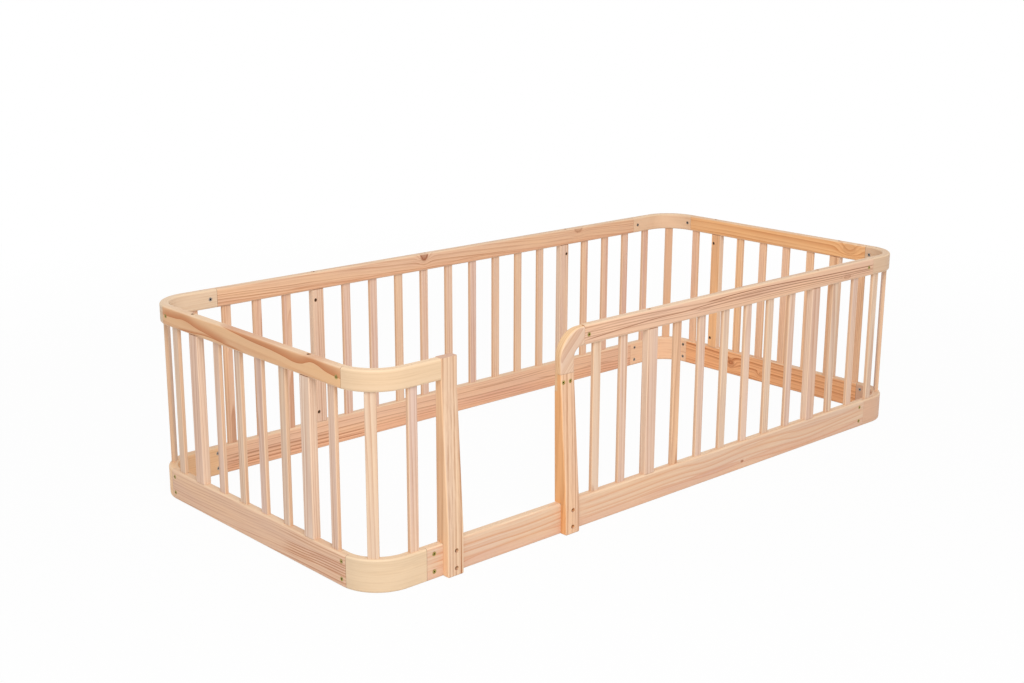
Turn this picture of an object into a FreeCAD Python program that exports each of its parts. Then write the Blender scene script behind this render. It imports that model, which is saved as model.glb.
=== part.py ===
import FreeCAD, Part
import Sketcher
import math
import os

# Toddler floor bed: a ring of low slatted walls that stands on the floor round a mattress.
# Millimetres. +X runs along the bed, +Y to the back wall, +Z up. The origin is on the floor,
# in the middle of the footprint, which the feet of the two entry posts carry out to the front.

os.makedirs("parts", exist_ok=True)
doc = FreeCAD.newDocument("FloorBed")
Vector = FreeCAD.Vector

# ---------------------------------------------------------------- driving dimensions
DIMENSIONS = (
    ("BedLength", 2064, "length over the rails, for a 2000 mattress"),
    ("BedWidth", 966, "width over the rails, for a 900 mattress"),
    ("BedHeight", 529, "floor to the top of the upper ring"),
    ("RailThick", 24, "thickness of rails, corners and block"),
    ("LowerHeight", 82, "height of the lower ring"),
    ("UpperHeight", 51.5, "height of the upper ring"),
    ("CornerRadius", 110, "outside radius of the bent corners"),
    ("EdgeRound", 6, "rounding of the long edges of both rings"),
    ("LongLapOuter", 868.5, "long walls: bed centre to the end of the rail's tongue"),
    ("LongLapInner", 825.5, "long walls: bed centre to the end of the corner's tongue"),
    ("LongLapBolt", 847, "long walls: bed centre to the lap bolts"),
    ("ShortLapOuter", 388, "end walls: bed centre to the end of the rail's tongue"),
    ("ShortLapInner", 358, "end walls: bed centre to the end of the corner's tongue"),
    ("ShortLapBolt", 373, "end walls: bed centre to the lap bolts"),
    ("JointGap", 0.6, "open line at the shoulders of the joints"),
    ("LapBoltLow", 20, "floor to the lower bolt of a bottom lap"),
    ("LapBoltHigh", 64, "floor to the upper bolt of a bottom lap"),
    ("PostWidth", 48, "width of the entry posts"),
    ("PostLean", 20, "how far a post's foot stands out past the rail"),
    ("PostTaper", 340, "height of the sloping part of a post's front face"),
    ("PostRound", 4.5, "rounding of the posts' long edges and of their feet"),
    ("LeftPostX", -820.5, "left face of the left post"),
    ("LeftTaperTop", 455, "floor to the top of the left post's slope"),
    ("LeftPostBoltX", -795.5, "foot bolts of the left post"),
    ("RightPostX", -443.5, "left face of the right post at its upper end, and of the block"),
    ("RightPostShift", 7, "how far the right post's foot stands to the right of its upper end"),
    ("RightTaperTop", 410, "floor to the top of the right post's slope"),
    ("RightPostBoltX", -414, "foot bolts of the right post"),
    ("RightPostTop", 417.5, "floor to the end of the right post's tongue"),
    ("BlockTongueEnd", 373, "floor to the end of the block's tongue"),
    ("BlockOuterRadius", 70, "outside radius of the quarter-ring block"),
    ("BlockDrop", 3, "how far the block is sanded down where its bend starts"),
    ("BlockInnerRadius", 26, "inside radius of the quarter-ring block"),
    ("BlockLapOuter", -362, "end of the front upper rail's tongue on the block"),
    ("BlockLapInner", -334, "end of the block's tongue behind the rail"),
    ("BlockRailBoltX", -347, "bolt of the block and the front upper rail"),
    ("BlockPostBoltZ", 396.5, "floor to the bolts of the block and the right post"),
    ("BlockPostBoltX", -422.5, "middle between the two bolts of the block and the right post"),
    ("BlockPostBoltGap", 23, "distance between those two bolts"),
    ("SlatWide", 27, "width of a narrow slat"),
    ("SlatThick", 11, "thickness of a narrow slat"),
    ("SlatRound", 3, "rounding of a narrow slat's edges"),
    ("TenonDepth", 12, "how deep a narrow slat goes into each ring"),
    ("WideSlatWide", 38, "width of a wide slat"),
    ("WideSlatThick", 22, "thickness of a wide slat"),
    ("WideSlatRound", 3, "rounding of a wide slat's edges"),
    ("BackSlatA", 98, "back wall: bed centre to the slats, one by one"),
    ("BackSlatB", 196, ""),
    ("BackSlatC", 293, ""),
    ("BackSlatD", 390.5, ""),
    ("BackWideSlat", 494.5, ""),
    ("BackSlatE", 597.5, ""),
    ("BackSlatF", 695.5, ""),
    ("BackSlatG", 794, ""),
    ("LegSlat", 896.5, "long walls: bed centre to the slat on a corner's leg"),
    ("EndSlatA", 47.5, "end walls: bed centre to the slats, one by one"),
    ("EndSlatB", 144.3, ""),
    ("EndWideSlat", 244, ""),
    ("EndSlatC", 341, ""),
    ("FrontSlatA", -309.5, "front wall right of the entry: slats from left to right"),
    ("FrontSlatB", -212, ""),
    ("FrontWideLeft", -109, ""),
    ("FrontSlatC", -5, ""),
    ("FrontSlatD", 93, ""),
    ("FrontSlatE", 192, ""),
    ("FrontSlatF", 288.5, ""),
    ("FrontSlatG", 387, ""),
    ("FrontSlatH", 486, ""),
    ("FrontWideRight", 591.5, ""),
    ("FrontSlatI", 692.5, ""),
    ("FrontSlatJ", 793.5, ""),
    ("FrontLeftSlat", -898.5, "front wall left of the entry: its only slat"),
    ("HeadRadius", 5.2, "bolt heads"),
    ("HeadThick", 3, ""),
    ("ShankRadius", 3, "M6 shanks"),
    ("SocketSize", 4, "hexagon socket, across the flats"),
    ("SocketDepth", 2, ""),
    ("LapBoltLong", 20, "length of a lap bolt with its head"),
    ("PostBoltLong", 30, "length of a foot bolt with its head"),
    ("PostHeadOut", 10, "head of a foot bolt, out from the rail's face"),
    ("SleeveRadius", 4.2, "sleeve nut in the inner half of a joint"),
    ("SleeveLong", 10, ""),
    ("SleeveFlange", 1.4, "thickness of the sleeve nut's flange"),
    ("Clearance", 0.4, "play round a bolt or nut in its hole"),
    ("NutPlay", 0.05, "play round a bolt in its nut"),
    ("DrillOver", 1, "how far a drill or cut reaches past the wood"),
    ("SlatBoltShift", 9.4, "wide slats: slat centre to its bolt, away from the wall's middle"),
    ("UpperBoltLong", 85, "bolt from the upper rail down into a wide slat"),
    ("UpperHeadSunk", 2.5, "how far its head lies under the rail's top"),
    ("LowerBoltLong", 100, "bolt from under the lower rail up into a wide slat"),
    ("LowerHeadSunk", 19, "how far its head lies over the rail's underside"),
    ("BarrelRadius", 5, "cross barrel nut in a wide slat"),
    ("BarrelLong", 16, ""),
    ("BarrelSunk", 3, "how far the barrel lies under the slat's inner face"),
    ("BarrelReach", 30, "ring to the middle of the barrel nut"),
    ("DowelRadius", 4, "wooden dowels"),
    ("DowelLong", 40, ""),
)
size = doc.addObject("Spreadsheet::Sheet", "Size")
for row, (alias, value, note) in enumerate(DIMENSIONS, start=1):
    size.set(f"A{row}", note)
    size.set(f"B{row}", str(value))
    size.setAlias(f"B{row}", alias)
doc.recompute()

# Places that several pieces share, as expressions on the sheet.
HALF_LENGTH = "Size.BedLength / 2"
HALF_WIDTH = "Size.BedWidth / 2"
HALF_THICK = "Size.RailThick / 2"
RING_SHIFT = "Size.PostLean / 2"
BEND_X = "(Size.BedLength / 2 - Size.CornerRadius)"
BEND_Y = "(Size.BedWidth / 2 - Size.CornerRadius)"
INNER_RADIUS = "(Size.CornerRadius - Size.RailThick)"
UPPER_FLOOR = "(Size.BedHeight - Size.UpperHeight)"
SLAT_FLOOR = "(Size.LowerHeight - Size.TenonDepth)"
SLAT_LENGTH = "(Size.BedHeight - Size.UpperHeight - Size.LowerHeight + 2 * Size.TenonDepth)"
CLEAR_HEIGHT = "(Size.BedHeight - Size.UpperHeight - Size.LowerHeight)"


def mm(expression):
    """The value that an expression on the sheet has now."""
    return float(size.evalExpression(expression))


def signed(sign, expression):
    """An expression with a sign in front."""
    return f"{sign} * ({expression})"


# ---------------------------------------------------------------- tools for one piece
def sketch_on(body, role, lift=None):
    """A sketch on one of the body's own origin planes, lifted off it along the normal."""
    plane = next(f for f in body.Origin.OriginFeatures if f.Role == role)
    sketch = body.newObject("Sketcher::SketchObject", "Outline")
    sketch.AttachmentSupport = (plane, [""])
    sketch.MapMode = "FlatFace"
    if lift:
        sketch.setExpression(".AttachmentOffset.Base.z", lift)
    return sketch


def pin(sketch, edge, end, axis, expression):
    """Hold one coordinate of a point at an expression, or on the axis where it is zero."""
    value = mm(expression)
    if abs(value) < 1e-9:
        sketch.addConstraint(Sketcher.Constraint("PointOnObject", edge, end, -2 if axis == "X" else -1))
        return
    index = sketch.addConstraint(Sketcher.Constraint("Distance" + axis, -1, 1, edge, end, value))
    sketch.setExpression(f"Constraints[{index}]", expression)


def outline(sketch, corners, bends=None):
    """A closed outline through the corners. bends: {corner: (centre x, centre y, radius)}
    makes the edge that leaves that corner an arc about the centre."""
    bends = bends or {}
    first = sketch.GeometryCount
    points = [Vector(mm(x), mm(y), 0) for x, y in corners]
    starts = []
    for i, here in enumerate(points):
        there = points[(i + 1) % len(points)]
        if i in bends:
            centre = Vector(mm(bends[i][0]), mm(bends[i][1]), 0)
            angles = [math.atan2(p.y - centre.y, p.x - centre.x) for p in (here, there)]
            forward = (angles[1] - angles[0]) % (2 * math.pi) < math.pi
            if not forward:
                angles.reverse()
            circle = Part.Circle(centre, Vector(0, 0, 1), mm(bends[i][2]))
            sketch.addGeometry(Part.ArcOfCircle(circle, angles[0], angles[1]), False)
            starts.append(1 if forward else 2)
        else:
            sketch.addGeometry(Part.LineSegment(here, there), False)
            starts.append(1)
    for i in range(len(points)):
        after = (i + 1) % len(points)
        joint = Sketcher.Constraint("Coincident", first + i, 3 - starts[i], first + after, starts[after])
        sketch.addConstraint(joint)
    for i, (x, y) in enumerate(corners):
        pin(sketch, first + i, starts[i], "X", x)
        pin(sketch, first + i, starts[i], "Y", y)
        if i in bends:
            radius = Sketcher.Constraint("Radius", first + i, mm(bends[i][2]))
            sketch.setExpression(f"Constraints[{sketch.addConstraint(radius)}]", bends[i][2])


def pad(body, sketch, length):
    """Grow the sketch along its normal."""
    feature = body.newObject("PartDesign::Pad", "Pad")
    feature.Profile = sketch
    feature.setExpression("Length", length)
    doc.recompute()
    return feature


def pocket(body, sketch, length, through=False):
    """Sink the sketch against its normal, or right through both ways."""
    before = body.Shape.Volume
    feature = body.newObject("PartDesign::Pocket", "Pocket")
    feature.Profile = sketch
    if through:
        feature.Type = "ThroughAll"
        feature.Midplane = True
    else:
        feature.setExpression("Length", length)
    doc.recompute()
    assert body.Shape.Volume < before - 1, f"{body.Label}: the pocket cuts nothing"
    return feature


def turn(body, steps, bore=None):
    """A turned piece about the Z axis. steps: (radius, bottom) from the top at zero downwards."""
    inner = bore or "0"
    corners = [(inner, steps[0][1])]
    for (radius, top), (_, bottom) in zip(steps[1:], steps[1:]):
        corners += [(radius, corners[-1][1]), (radius, bottom)]
    corners.append((inner, steps[-1][1]))
    sketch = sketch_on(body, "XZ_Plane")
    outline(sketch, corners)
    feature = body.newObject("PartDesign::Revolution", "Turned")
    feature.Profile = sketch
    feature.ReferenceAxis = (sketch, ["V_Axis"])
    feature.Angle = 360
    doc.recompute()
    return feature


def round_edges(body, feature, radius, wanted):
    """Round the edges of a feature whose middle point passes the test."""
    names = []
    for number, edge in enumerate(feature.Shape.Edges, start=1):
        middle = edge.valueAt((edge.FirstParameter + edge.LastParameter) / 2)
        if wanted(middle, edge):
            names.append(f"Edge{number}")
    fillet = body.newObject("PartDesign::Fillet", "Rounded")
    fillet.Base = (feature, names)
    fillet.setExpression("Radius", radius)
    doc.recompute()
    return fillet


def place(piece, x="0", y="0", z="0", rotation=None):
    """Put a piece at a place that follows the sheet."""
    piece.Placement = FreeCAD.Placement(Vector(0, 0, 0), rotation or FreeCAD.Rotation())
    for axis, expression in zip("xyz", (x, y, z)):
        piece.setExpression(f".Placement.Base.{axis}", expression)


def facing(x, y):
    """Turn a piece made along Z so that its top looks level along (x, y) and its Y side up."""
    out = Vector(x, y, 0)
    up = Vector(0, 0, 1)
    return FreeCAD.Rotation(up.cross(out), up, out, "ZYX")


def new_body(label):
    body = doc.addObject("PartDesign::Body", label)
    body.Label = label
    return body


subparts = []


def finished(piece, node):
    """Name a piece as a sub-part of the bed."""
    piece.Label = node
    subparts.append(piece)
    return piece


# ---------------------------------------------------------------- boards of the two rings
def wall_depth(x, y):
    """How far a point of the plan lies inside the ring's outer face."""
    over_x = abs(x) - mm(BEND_X)
    over_y = abs(y) - mm(BEND_Y)
    if over_x > 0 and over_y > 0:
        return mm("Size.CornerRadius") - math.hypot(over_x, over_y)
    return min(mm(HALF_LENGTH) - abs(x), mm(HALF_WIDTH) - abs(y))


def ring_board(label, corners, bends, upper):
    """A board of a ring from its plan, with its four long edges rounded."""
    height = "Size.UpperHeight" if upper else "Size.LowerHeight"
    body = new_body(label)
    sketch = sketch_on(body, "XY_Plane")
    outline(sketch, corners, bends)
    board = pad(body, sketch, height)

    def long_edge(middle, edge):
        on_face = min(abs(wall_depth(middle.x, middle.y) - d) for d in (0, mm("Size.RailThick"))) < 0.01
        return on_face and min(abs(middle.z), abs(middle.z - mm(height))) < 0.01

    round_edges(body, board, "Size.EdgeRound", long_edge)
    place(body, y=RING_SHIFT, z=UPPER_FLOOR if upper else "0")
    return body


def long_rail(label, side, upper, left=None):
    """A rail of the back wall (side 1) or the front wall (side -1), with a tongue at each end
    that is the outer half of its thickness. left: where a shorter rail's left tongue and face end."""
    outer = signed(side, HALF_WIDTH)
    middle = signed(side, f"{HALF_WIDTH} - {HALF_THICK}")
    inner = signed(side, f"{HALF_WIDTH} - Size.RailThick")
    left_outer, left_inner = left or ("-Size.LongLapOuter", "-Size.LongLapInner")
    corners = [
        (left_outer, outer),
        ("Size.LongLapOuter", outer),
        ("Size.LongLapOuter", middle),
        ("Size.LongLapInner", middle),
        ("Size.LongLapInner", inner),
        (left_inner, inner),
        (left_inner, middle),
        (left_outer, middle),
    ]
    return ring_board(label, corners, {}, upper)


def bend_at(y):
    """X of the bend's outer face at a distance y from the bed's long axis."""
    return f"({BEND_X} + sqrt(Size.CornerRadius ^ 2 - ({y} - {BEND_Y}) ^ 2))"


def short_rail(label, side, upper):
    """A rail of the right wall (side 1) or the left wall (side -1). Its tongues run a little way
    into the bend and are sanded to the curve there."""
    outer = signed(side, HALF_LENGTH)
    on_bend = signed(side, bend_at("Size.ShortLapOuter"))
    middle = signed(side, f"{HALF_LENGTH} - {HALF_THICK}")
    inner = signed(side, f"{HALF_LENGTH} - Size.RailThick")
    corners = [
        (outer, f"-{BEND_Y}"),
        (outer, BEND_Y),
        (on_bend, "Size.ShortLapOuter"),
        (middle, "Size.ShortLapOuter"),
        (middle, "Size.ShortLapInner"),
        (inner, "Size.ShortLapInner"),
        (inner, "-Size.ShortLapInner"),
        (middle, "-Size.ShortLapInner"),
        (middle, "-Size.ShortLapOuter"),
        (on_bend, "-Size.ShortLapOuter"),
    ]
    centre_x = signed(side, BEND_X)
    bends = {
        1: (centre_x, BEND_Y, "Size.CornerRadius"),
        9: (centre_x, f"-{BEND_Y}", "Size.CornerRadius"),
    }
    return ring_board(label, corners, bends, upper)


def bent_corner(label, side_x, side_y, upper, butt_at=None):
    """A corner bent from thin layers, with two straight legs. A leg ends in a tongue, the inner
    half of its thickness, or square at butt_at where it meets the left entry post."""
    def at(x, y):
        return signed(side_x, x), signed(side_y, y)

    inner_x = f"{HALF_LENGTH} - Size.RailThick"
    inner_y = f"{HALF_WIDTH} - Size.RailThick"
    leg_outer = butt_at or "(Size.LongLapOuter + Size.JointGap)"
    leg_inner = butt_at or "(Size.LongLapInner + Size.JointGap)"
    end_outer = "(Size.ShortLapOuter + Size.JointGap)"
    end_inner = "(Size.ShortLapInner + Size.JointGap)"
    corners = [
        at(leg_outer, HALF_WIDTH),
        at(BEND_X, HALF_WIDTH),
        at(bend_at(end_outer), end_outer),
        at(f"{HALF_LENGTH} - {HALF_THICK}", end_outer),
        at(f"{HALF_LENGTH} - {HALF_THICK}", end_inner),
        at(inner_x, end_inner),
        at(inner_x, BEND_Y),
        at(BEND_X, inner_y),
        at(leg_inner, inner_y),
    ]
    if not butt_at:
        corners.append(at(leg_inner, f"{HALF_WIDTH} - {HALF_THICK}"))
        corners.append(at(leg_outer, f"{HALF_WIDTH} - {HALF_THICK}"))
    centre = at(BEND_X, BEND_Y)
    bends = {1: (*centre, "Size.CornerRadius"), 6: (*centre, INNER_RADIUS)}
    return ring_board(label, corners, bends, upper)


blanks = {
    "lower_rail_back": long_rail("back_lower_blank", 1, False),
    "lower_rail_front": long_rail("front_lower_blank", -1, False),
    "lower_rail_left": short_rail("left_lower_blank", -1, False),
    "lower_rail_right": short_rail("right_lower_blank", 1, False),
    "upper_rail_back": long_rail("back_upper_blank", 1, True),
    "upper_rail_front": long_rail(
        "front_upper_blank", -1, True, ("Size.BlockLapOuter", "Size.BlockLapInner")),
    "upper_rail_left": short_rail("left_upper_blank", -1, True),
    "upper_rail_right": short_rail("right_upper_blank", 1, True),
}
SIDES = {"back_left": (-1, 1), "back_right": (1, 1), "front_left": (-1, -1), "front_right": (1, -1)}
for where, (side_x, side_y) in SIDES.items():
    blanks[f"lower_corner_{where}"] = bent_corner(f"{where}_lower_blank", side_x, side_y, False)
    butt = "(Size.JointGap - Size.LeftPostX)" if where == "front_left" else None
    blanks[f"upper_corner_{where}"] = bent_corner(f"{where}_upper_blank", side_x, side_y, True, butt)


# ---------------------------------------------------------------- entry posts
def entry_post(label, left_face, top, taper_top, tongue_from=None, foot_shift=None):
    """A post with an upright back face and a front face that slopes out to its foot, which is
    notched over the lower rail. tongue_from: where the back half of a lapped upper end starts to
    be cut away. foot_shift: how far a leaning post's foot stands to the right."""
    foot = f"-{HALF_WIDTH} - Size.PostLean"
    front_wall = f"-{HALF_WIDTH}"
    middle = f"{HALF_THICK} - {HALF_WIDTH}"
    back = f"Size.RailThick - {HALF_WIDTH}"
    profile = [(foot, f"{taper_top} - Size.PostTaper"), (foot, "0"), (front_wall, "0")]
    profile += [(front_wall, "Size.LowerHeight"), (back, "Size.LowerHeight")]
    if tongue_from:
        profile += [(back, tongue_from), (middle, tongue_from), (middle, top)]
    else:
        profile += [(back, top)]
    profile += [(front_wall, top), (front_wall, taper_top)]
    body = new_body(label)
    sketch = sketch_on(body, "YZ_Plane")
    outline(sketch, profile)
    post = pad(body, sketch, f"Size.PostWidth + {foot_shift}" if foot_shift else "Size.PostWidth")
    if foot_shift:
        sides = sketch_on(body, "XZ_Plane")
        wide = f"Size.PostWidth + {foot_shift}"
        outline(sides, [
            ("-Size.DrillOver", "0"),
            (foot_shift, "0"),
            ("0", top),
            ("-Size.DrillOver", top),
        ])
        outline(sides, [
            (wide, "0"),
            (f"{wide} + Size.DrillOver", "0"),
            (f"{wide} + Size.DrillOver", top),
            ("Size.PostWidth", top),
        ])
        post = pocket(body, sides, None, through=True)

    def rounded_edge(middle, edge):
        in_foot = middle.y < mm(front_wall) - 0.01
        in_front = middle.y < mm(front_wall) + 0.01 and middle.z > mm(taper_top)
        level = edge.Length - abs(edge.Vertexes[-1].Z - edge.Vertexes[0].Z) > 1
        if level:
            return in_foot and middle.z < 0.01
        return in_foot or in_front or abs(middle.y - mm(back)) < 0.01

    round_edges(body, post, "Size.PostRound", rounded_edge)
    place(body, x=left_face, y=RING_SHIFT)
    return body


blanks["entry_post_left"] = entry_post(
    "left_post_blank",
    left_face="Size.LeftPostX",
    top="Size.BedHeight",
    taper_top="Size.LeftTaperTop",
)
blanks["entry_post_right"] = entry_post(
    "right_post_blank",
    left_face="Size.RightPostX",
    top="(Size.RightPostTop - Size.JointGap)",
    taper_top="Size.RightTaperTop",
    tongue_from="Size.BlockTongueEnd",
    foot_shift="Size.RightPostShift",
)


# ---------------------------------------------------------------- quarter-ring block
# It turns the right post into the front upper rail. Its two tongues, the inner half of its
# thickness, lie behind the post's tongue and behind the rail's.
def corner_block(label):
    left = "Size.RightPostX"
    right = "(Size.RightPostX + Size.PostWidth)"
    top = "Size.BedHeight"
    under = UPPER_FLOOR
    outer_x = "(Size.RightPostX + Size.BlockOuterRadius)"
    bend_top = "(Size.BedHeight - Size.BlockDrop)"
    outer_z = f"({bend_top} - Size.BlockOuterRadius)"
    tongue_under = "(Size.BlockTongueEnd + Size.JointGap)"
    tongue_right = "(Size.BlockLapInner - Size.JointGap)"
    inner_x = f"({right} + Size.BlockInnerRadius)"
    inner_z = f"({under} - Size.BlockInnerRadius)"
    body = new_body(label)
    sketch = sketch_on(body, "XZ_Plane")
    corners = [
        (left, tongue_under),
        (left, outer_z),
        (outer_x, bend_top),
        (tongue_right, top),
        (tongue_right, under),
        (inner_x, under),
        (right, inner_z),
        (right, tongue_under),
    ]
    bends = {
        1: (outer_x, outer_z, "Size.BlockOuterRadius"),
        5: (inner_x, inner_z, "Size.BlockInnerRadius"),
    }
    outline(sketch, corners, bends)
    block = pad(body, sketch, "Size.RailThick")

    def long_edge(middle, edge):
        end_edge = abs(middle.z - mm(tongue_under)) < 0.01
        end_edge = end_edge or abs(middle.x - mm(tongue_right)) < 0.01
        return not end_edge and min(abs(middle.y), abs(middle.y + mm("Size.RailThick"))) < 0.01

    round_edges(body, block, "Size.EdgeRound", long_edge)
    laps = sketch_on(body, "XZ_Plane", "Size.RailThick")
    outline(laps, [
        (f"{left} - Size.DrillOver", "Size.BlockTongueEnd - Size.DrillOver"),
        (f"{right} + Size.DrillOver", "Size.BlockTongueEnd - Size.DrillOver"),
        (f"{right} + Size.DrillOver", "Size.RightPostTop"),
        (f"{left} - Size.DrillOver", "Size.RightPostTop"),
    ])
    outline(laps, [
        ("Size.BlockLapOuter - Size.JointGap", f"{under} - Size.DrillOver"),
        ("Size.BlockLapInner + Size.DrillOver", f"{under} - Size.DrillOver"),
        ("Size.BlockLapInner + Size.DrillOver", f"{top} + Size.DrillOver"),
        ("Size.BlockLapOuter - Size.JointGap", f"{top} + Size.DrillOver"),
    ])
    pocket(body, laps, HALF_THICK)
    place(body, y=f"{RING_SHIFT} - {HALF_WIDTH} + Size.RailThick")
    return body


blanks["entry_corner_block"] = corner_block("block_blank")


# ---------------------------------------------------------------- slats
def slat(label, width, thick, rounding, length):
    """An upright slat with its four long edges eased, made on the floor at the origin."""
    body = new_body(label)
    sketch = sketch_on(body, "XY_Plane")
    outline(sketch, [
        (f"-{width} / 2", f"-{thick} / 2"),
        (f"{width} / 2", f"-{thick} / 2"),
        (f"{width} / 2", f"{thick} / 2"),
        (f"-{width} / 2", f"{thick} / 2"),
    ])
    stick = pad(body, sketch, length)

    def upright(middle, edge):
        return abs(middle.z - mm(length) / 2) < 0.01

    round_edges(body, stick, rounding, upright)
    return body


def narrow_slat(label, x, y, angle):
    """A narrow slat whose two ends are let into the rings."""
    stick = slat(label, "Size.SlatWide", "Size.SlatThick", "Size.SlatRound", SLAT_LENGTH)
    place(stick, x, f"{RING_SHIFT} + {y}", SLAT_FLOOR, FreeCAD.Rotation(Vector(0, 0, 1), angle))
    return stick


BACK_Y = f"({HALF_WIDTH} - {HALF_THICK})"
FRONT_Y = f"-({HALF_WIDTH} - {HALF_THICK})"
RIGHT_X = f"({HALF_LENGTH} - {HALF_THICK})"
LEFT_X = f"-({HALF_LENGTH} - {HALF_THICK})"

slats = []


def slat_node(node, sticks):
    """One sub-part for one slat, or for a row of like slats as a group of separate solids."""
    slats.extend(sticks)
    if len(sticks) == 1:
        return finished(sticks[0], node)
    group = doc.addObject("Part::Compound", node)
    group.Links = sticks
    return finished(group, node)


# Front wall, right of the entry, and the one slat left of it.
for letter in "ABCDEFGHIJ":
    stick = narrow_slat("front", f"Size.FrontSlat{letter}", FRONT_Y, 0)
    slat_node(f"slat_front_{letter.lower()}", [stick])
slat_node("slat_front_k", [narrow_slat("front", "Size.LegSlat", FRONT_Y, 0)])
slat_node("slat_front_left", [narrow_slat("front", "Size.FrontLeftSlat", FRONT_Y, 0)])

# Left wall, one by one, and right wall in one row.
for end, where in (("-", "front"), ("", "back")):
    for letter in "ABC":
        stick = narrow_slat("left", LEFT_X, f"{end}Size.EndSlat{letter}", 90)
        slat_node(f"slat_left_{where}_{letter.lower()}", [stick])
right_row = [
    narrow_slat("right", RIGHT_X, f"{end}Size.EndSlat{letter}", 90)
    for end in ("-", "")
    for letter in "ABC"
]
slat_node("slats_right_row", right_row)

# Back wall: a row left of its left wide slat, one between the wide slats, one right of them.
back_middle = [narrow_slat("back", "0", BACK_Y, 0)]
for end in ("-", ""):
    back_middle += [narrow_slat("back", f"{end}Size.BackSlat{letter}", BACK_Y, 0) for letter in "ABCD"]
slat_node("slats_back_middle_row", back_middle)
for end, where in (("-", "left"), ("", "right")):
    row = [narrow_slat("back", f"{end}Size.BackSlat{letter}", BACK_Y, 0) for letter in "EFG"]
    row.append(narrow_slat("back", f"{end}Size.LegSlat", BACK_Y, 0))
    slat_node(f"slats_back_{where}_row", row)

# One slat in the middle of each bend, turned to face out along the diagonal.
BEND_MIDDLE = f"(Size.CornerRadius - {HALF_THICK}) * sqrt(0.5)"
for where, (side_x, side_y) in SIDES.items():
    bend_x = signed(side_x, f"{BEND_X} + {BEND_MIDDLE}")
    bend_y = signed(side_y, f"{BEND_Y} + {BEND_MIDDLE}")
    slat_node(f"slat_corner_{where}", [narrow_slat("corner", bend_x, bend_y, -45 * side_x * side_y)])

# Wide slats stand between the rings without tenons. Each has a bolt on its side away from the
# wall's middle and a dowel on the other side, at both ends.
# node: (x, y, turn, direction of the bolt side along the wall, direction into the bed)
WIDE_SLATS = {
    "wide_slat_back_left": ("-Size.BackWideSlat", BACK_Y, 0, -1, (0, -1)),
    "wide_slat_back_right": ("Size.BackWideSlat", BACK_Y, 0, 1, (0, -1)),
    "wide_slat_front_left": ("Size.FrontWideLeft", FRONT_Y, 0, -1, (0, 1)),
    "wide_slat_front_right": ("Size.FrontWideRight", FRONT_Y, 0, 1, (0, 1)),
    "wide_slat_left_front": (LEFT_X, "-Size.EndWideSlat", 90, -1, (1, 0)),
    "wide_slat_left_back": (LEFT_X, "Size.EndWideSlat", 90, 1, (1, 0)),
    "wide_slat_right_front": (RIGHT_X, "-Size.EndWideSlat", 90, -1, (-1, 0)),
    "wide_slat_right_back": (RIGHT_X, "Size.EndWideSlat", 90, 1, (-1, 0)),
}
for node, (x, y, angle, bolt_side, inward) in WIDE_SLATS.items():
    section = ("Size.WideSlatWide", "Size.WideSlatThick", "Size.WideSlatRound")
    stick = slat(f"{node}_blank", *section, CLEAR_HEIGHT)
    place(stick, x, f"{RING_SHIFT} + {y}", "Size.LowerHeight", FreeCAD.Rotation(Vector(0, 0, 1), angle))
    blanks[node] = stick


# ---------------------------------------------------------------- fastener patterns
# Each is made once about the Z axis, with its visible end at zero, and copied to its places.
def bolt(label, length):
    """A socket-head bolt: a flat round head on an M6 shank."""
    body = new_body(label)
    turn(body, [("0", "0"), ("Size.HeadRadius", "-Size.HeadThick"), ("Size.ShankRadius", f"-{length}")])
    socket = sketch_on(body, "XY_Plane")
    corner = [(math.cos(math.radians(60 * i)), math.sin(math.radians(60 * i))) for i in range(6)]
    outline(socket, [
        (f"{x:.9f} * Size.SocketSize / sqrt(3)", f"{y:.9f} * Size.SocketSize / sqrt(3)")
        for x, y in corner
    ])
    pocket(body, socket, "Size.SocketDepth")
    return body


NUT_BORE = "(Size.ShankRadius + Size.NutPlay)"


def sleeve_nut(label):
    """A flanged sleeve nut with a bore for the bolt."""
    body = new_body(label)
    steps = [
        ("0", "0"),
        ("Size.HeadRadius", "-Size.SleeveFlange"),
        ("Size.SleeveRadius", "-Size.SleeveLong"),
    ]
    turn(body, steps, bore=NUT_BORE)
    return body


def barrel_nut(label):
    """A cross barrel nut: a short rod with the bolt's hole across its middle."""
    body = new_body(label)
    turn(body, [("0", "0"), ("Size.BarrelRadius", "-Size.BarrelLong")])
    across = sketch_on(body, "XZ_Plane")
    across.addGeometry(Part.Circle(Vector(0, -mm("Size.BarrelLong") / 2, 0), Vector(0, 0, 1), 1), False)
    radius = across.addConstraint(Sketcher.Constraint("Radius", 0, mm(NUT_BORE)))
    across.setExpression(f"Constraints[{radius}]", NUT_BORE)
    pin(across, 0, 3, "X", "0")
    pin(across, 0, 3, "Y", "-Size.BarrelLong / 2")
    pocket(body, across, None, through=True)
    return body


def turned(label, steps):
    """A plain or stepped rod: a dowel, or the drill that cuts a hole."""
    body = new_body(label)
    turn(body, steps)
    return body


lap_bolt = bolt("lap_bolt_pattern", "Size.LapBoltLong")
post_bolt = bolt("post_bolt_pattern", "Size.PostBoltLong")
upper_bolt = bolt("upper_bolt_pattern", "Size.UpperBoltLong")
lower_bolt = bolt("lower_bolt_pattern", "Size.LowerBoltLong")
sleeve = sleeve_nut("sleeve_nut_pattern")
barrel = barrel_nut("barrel_nut_pattern")
dowel = turned("dowel_pattern", [("0", "0"), ("Size.DowelRadius", "-Size.DowelLong")])

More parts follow.
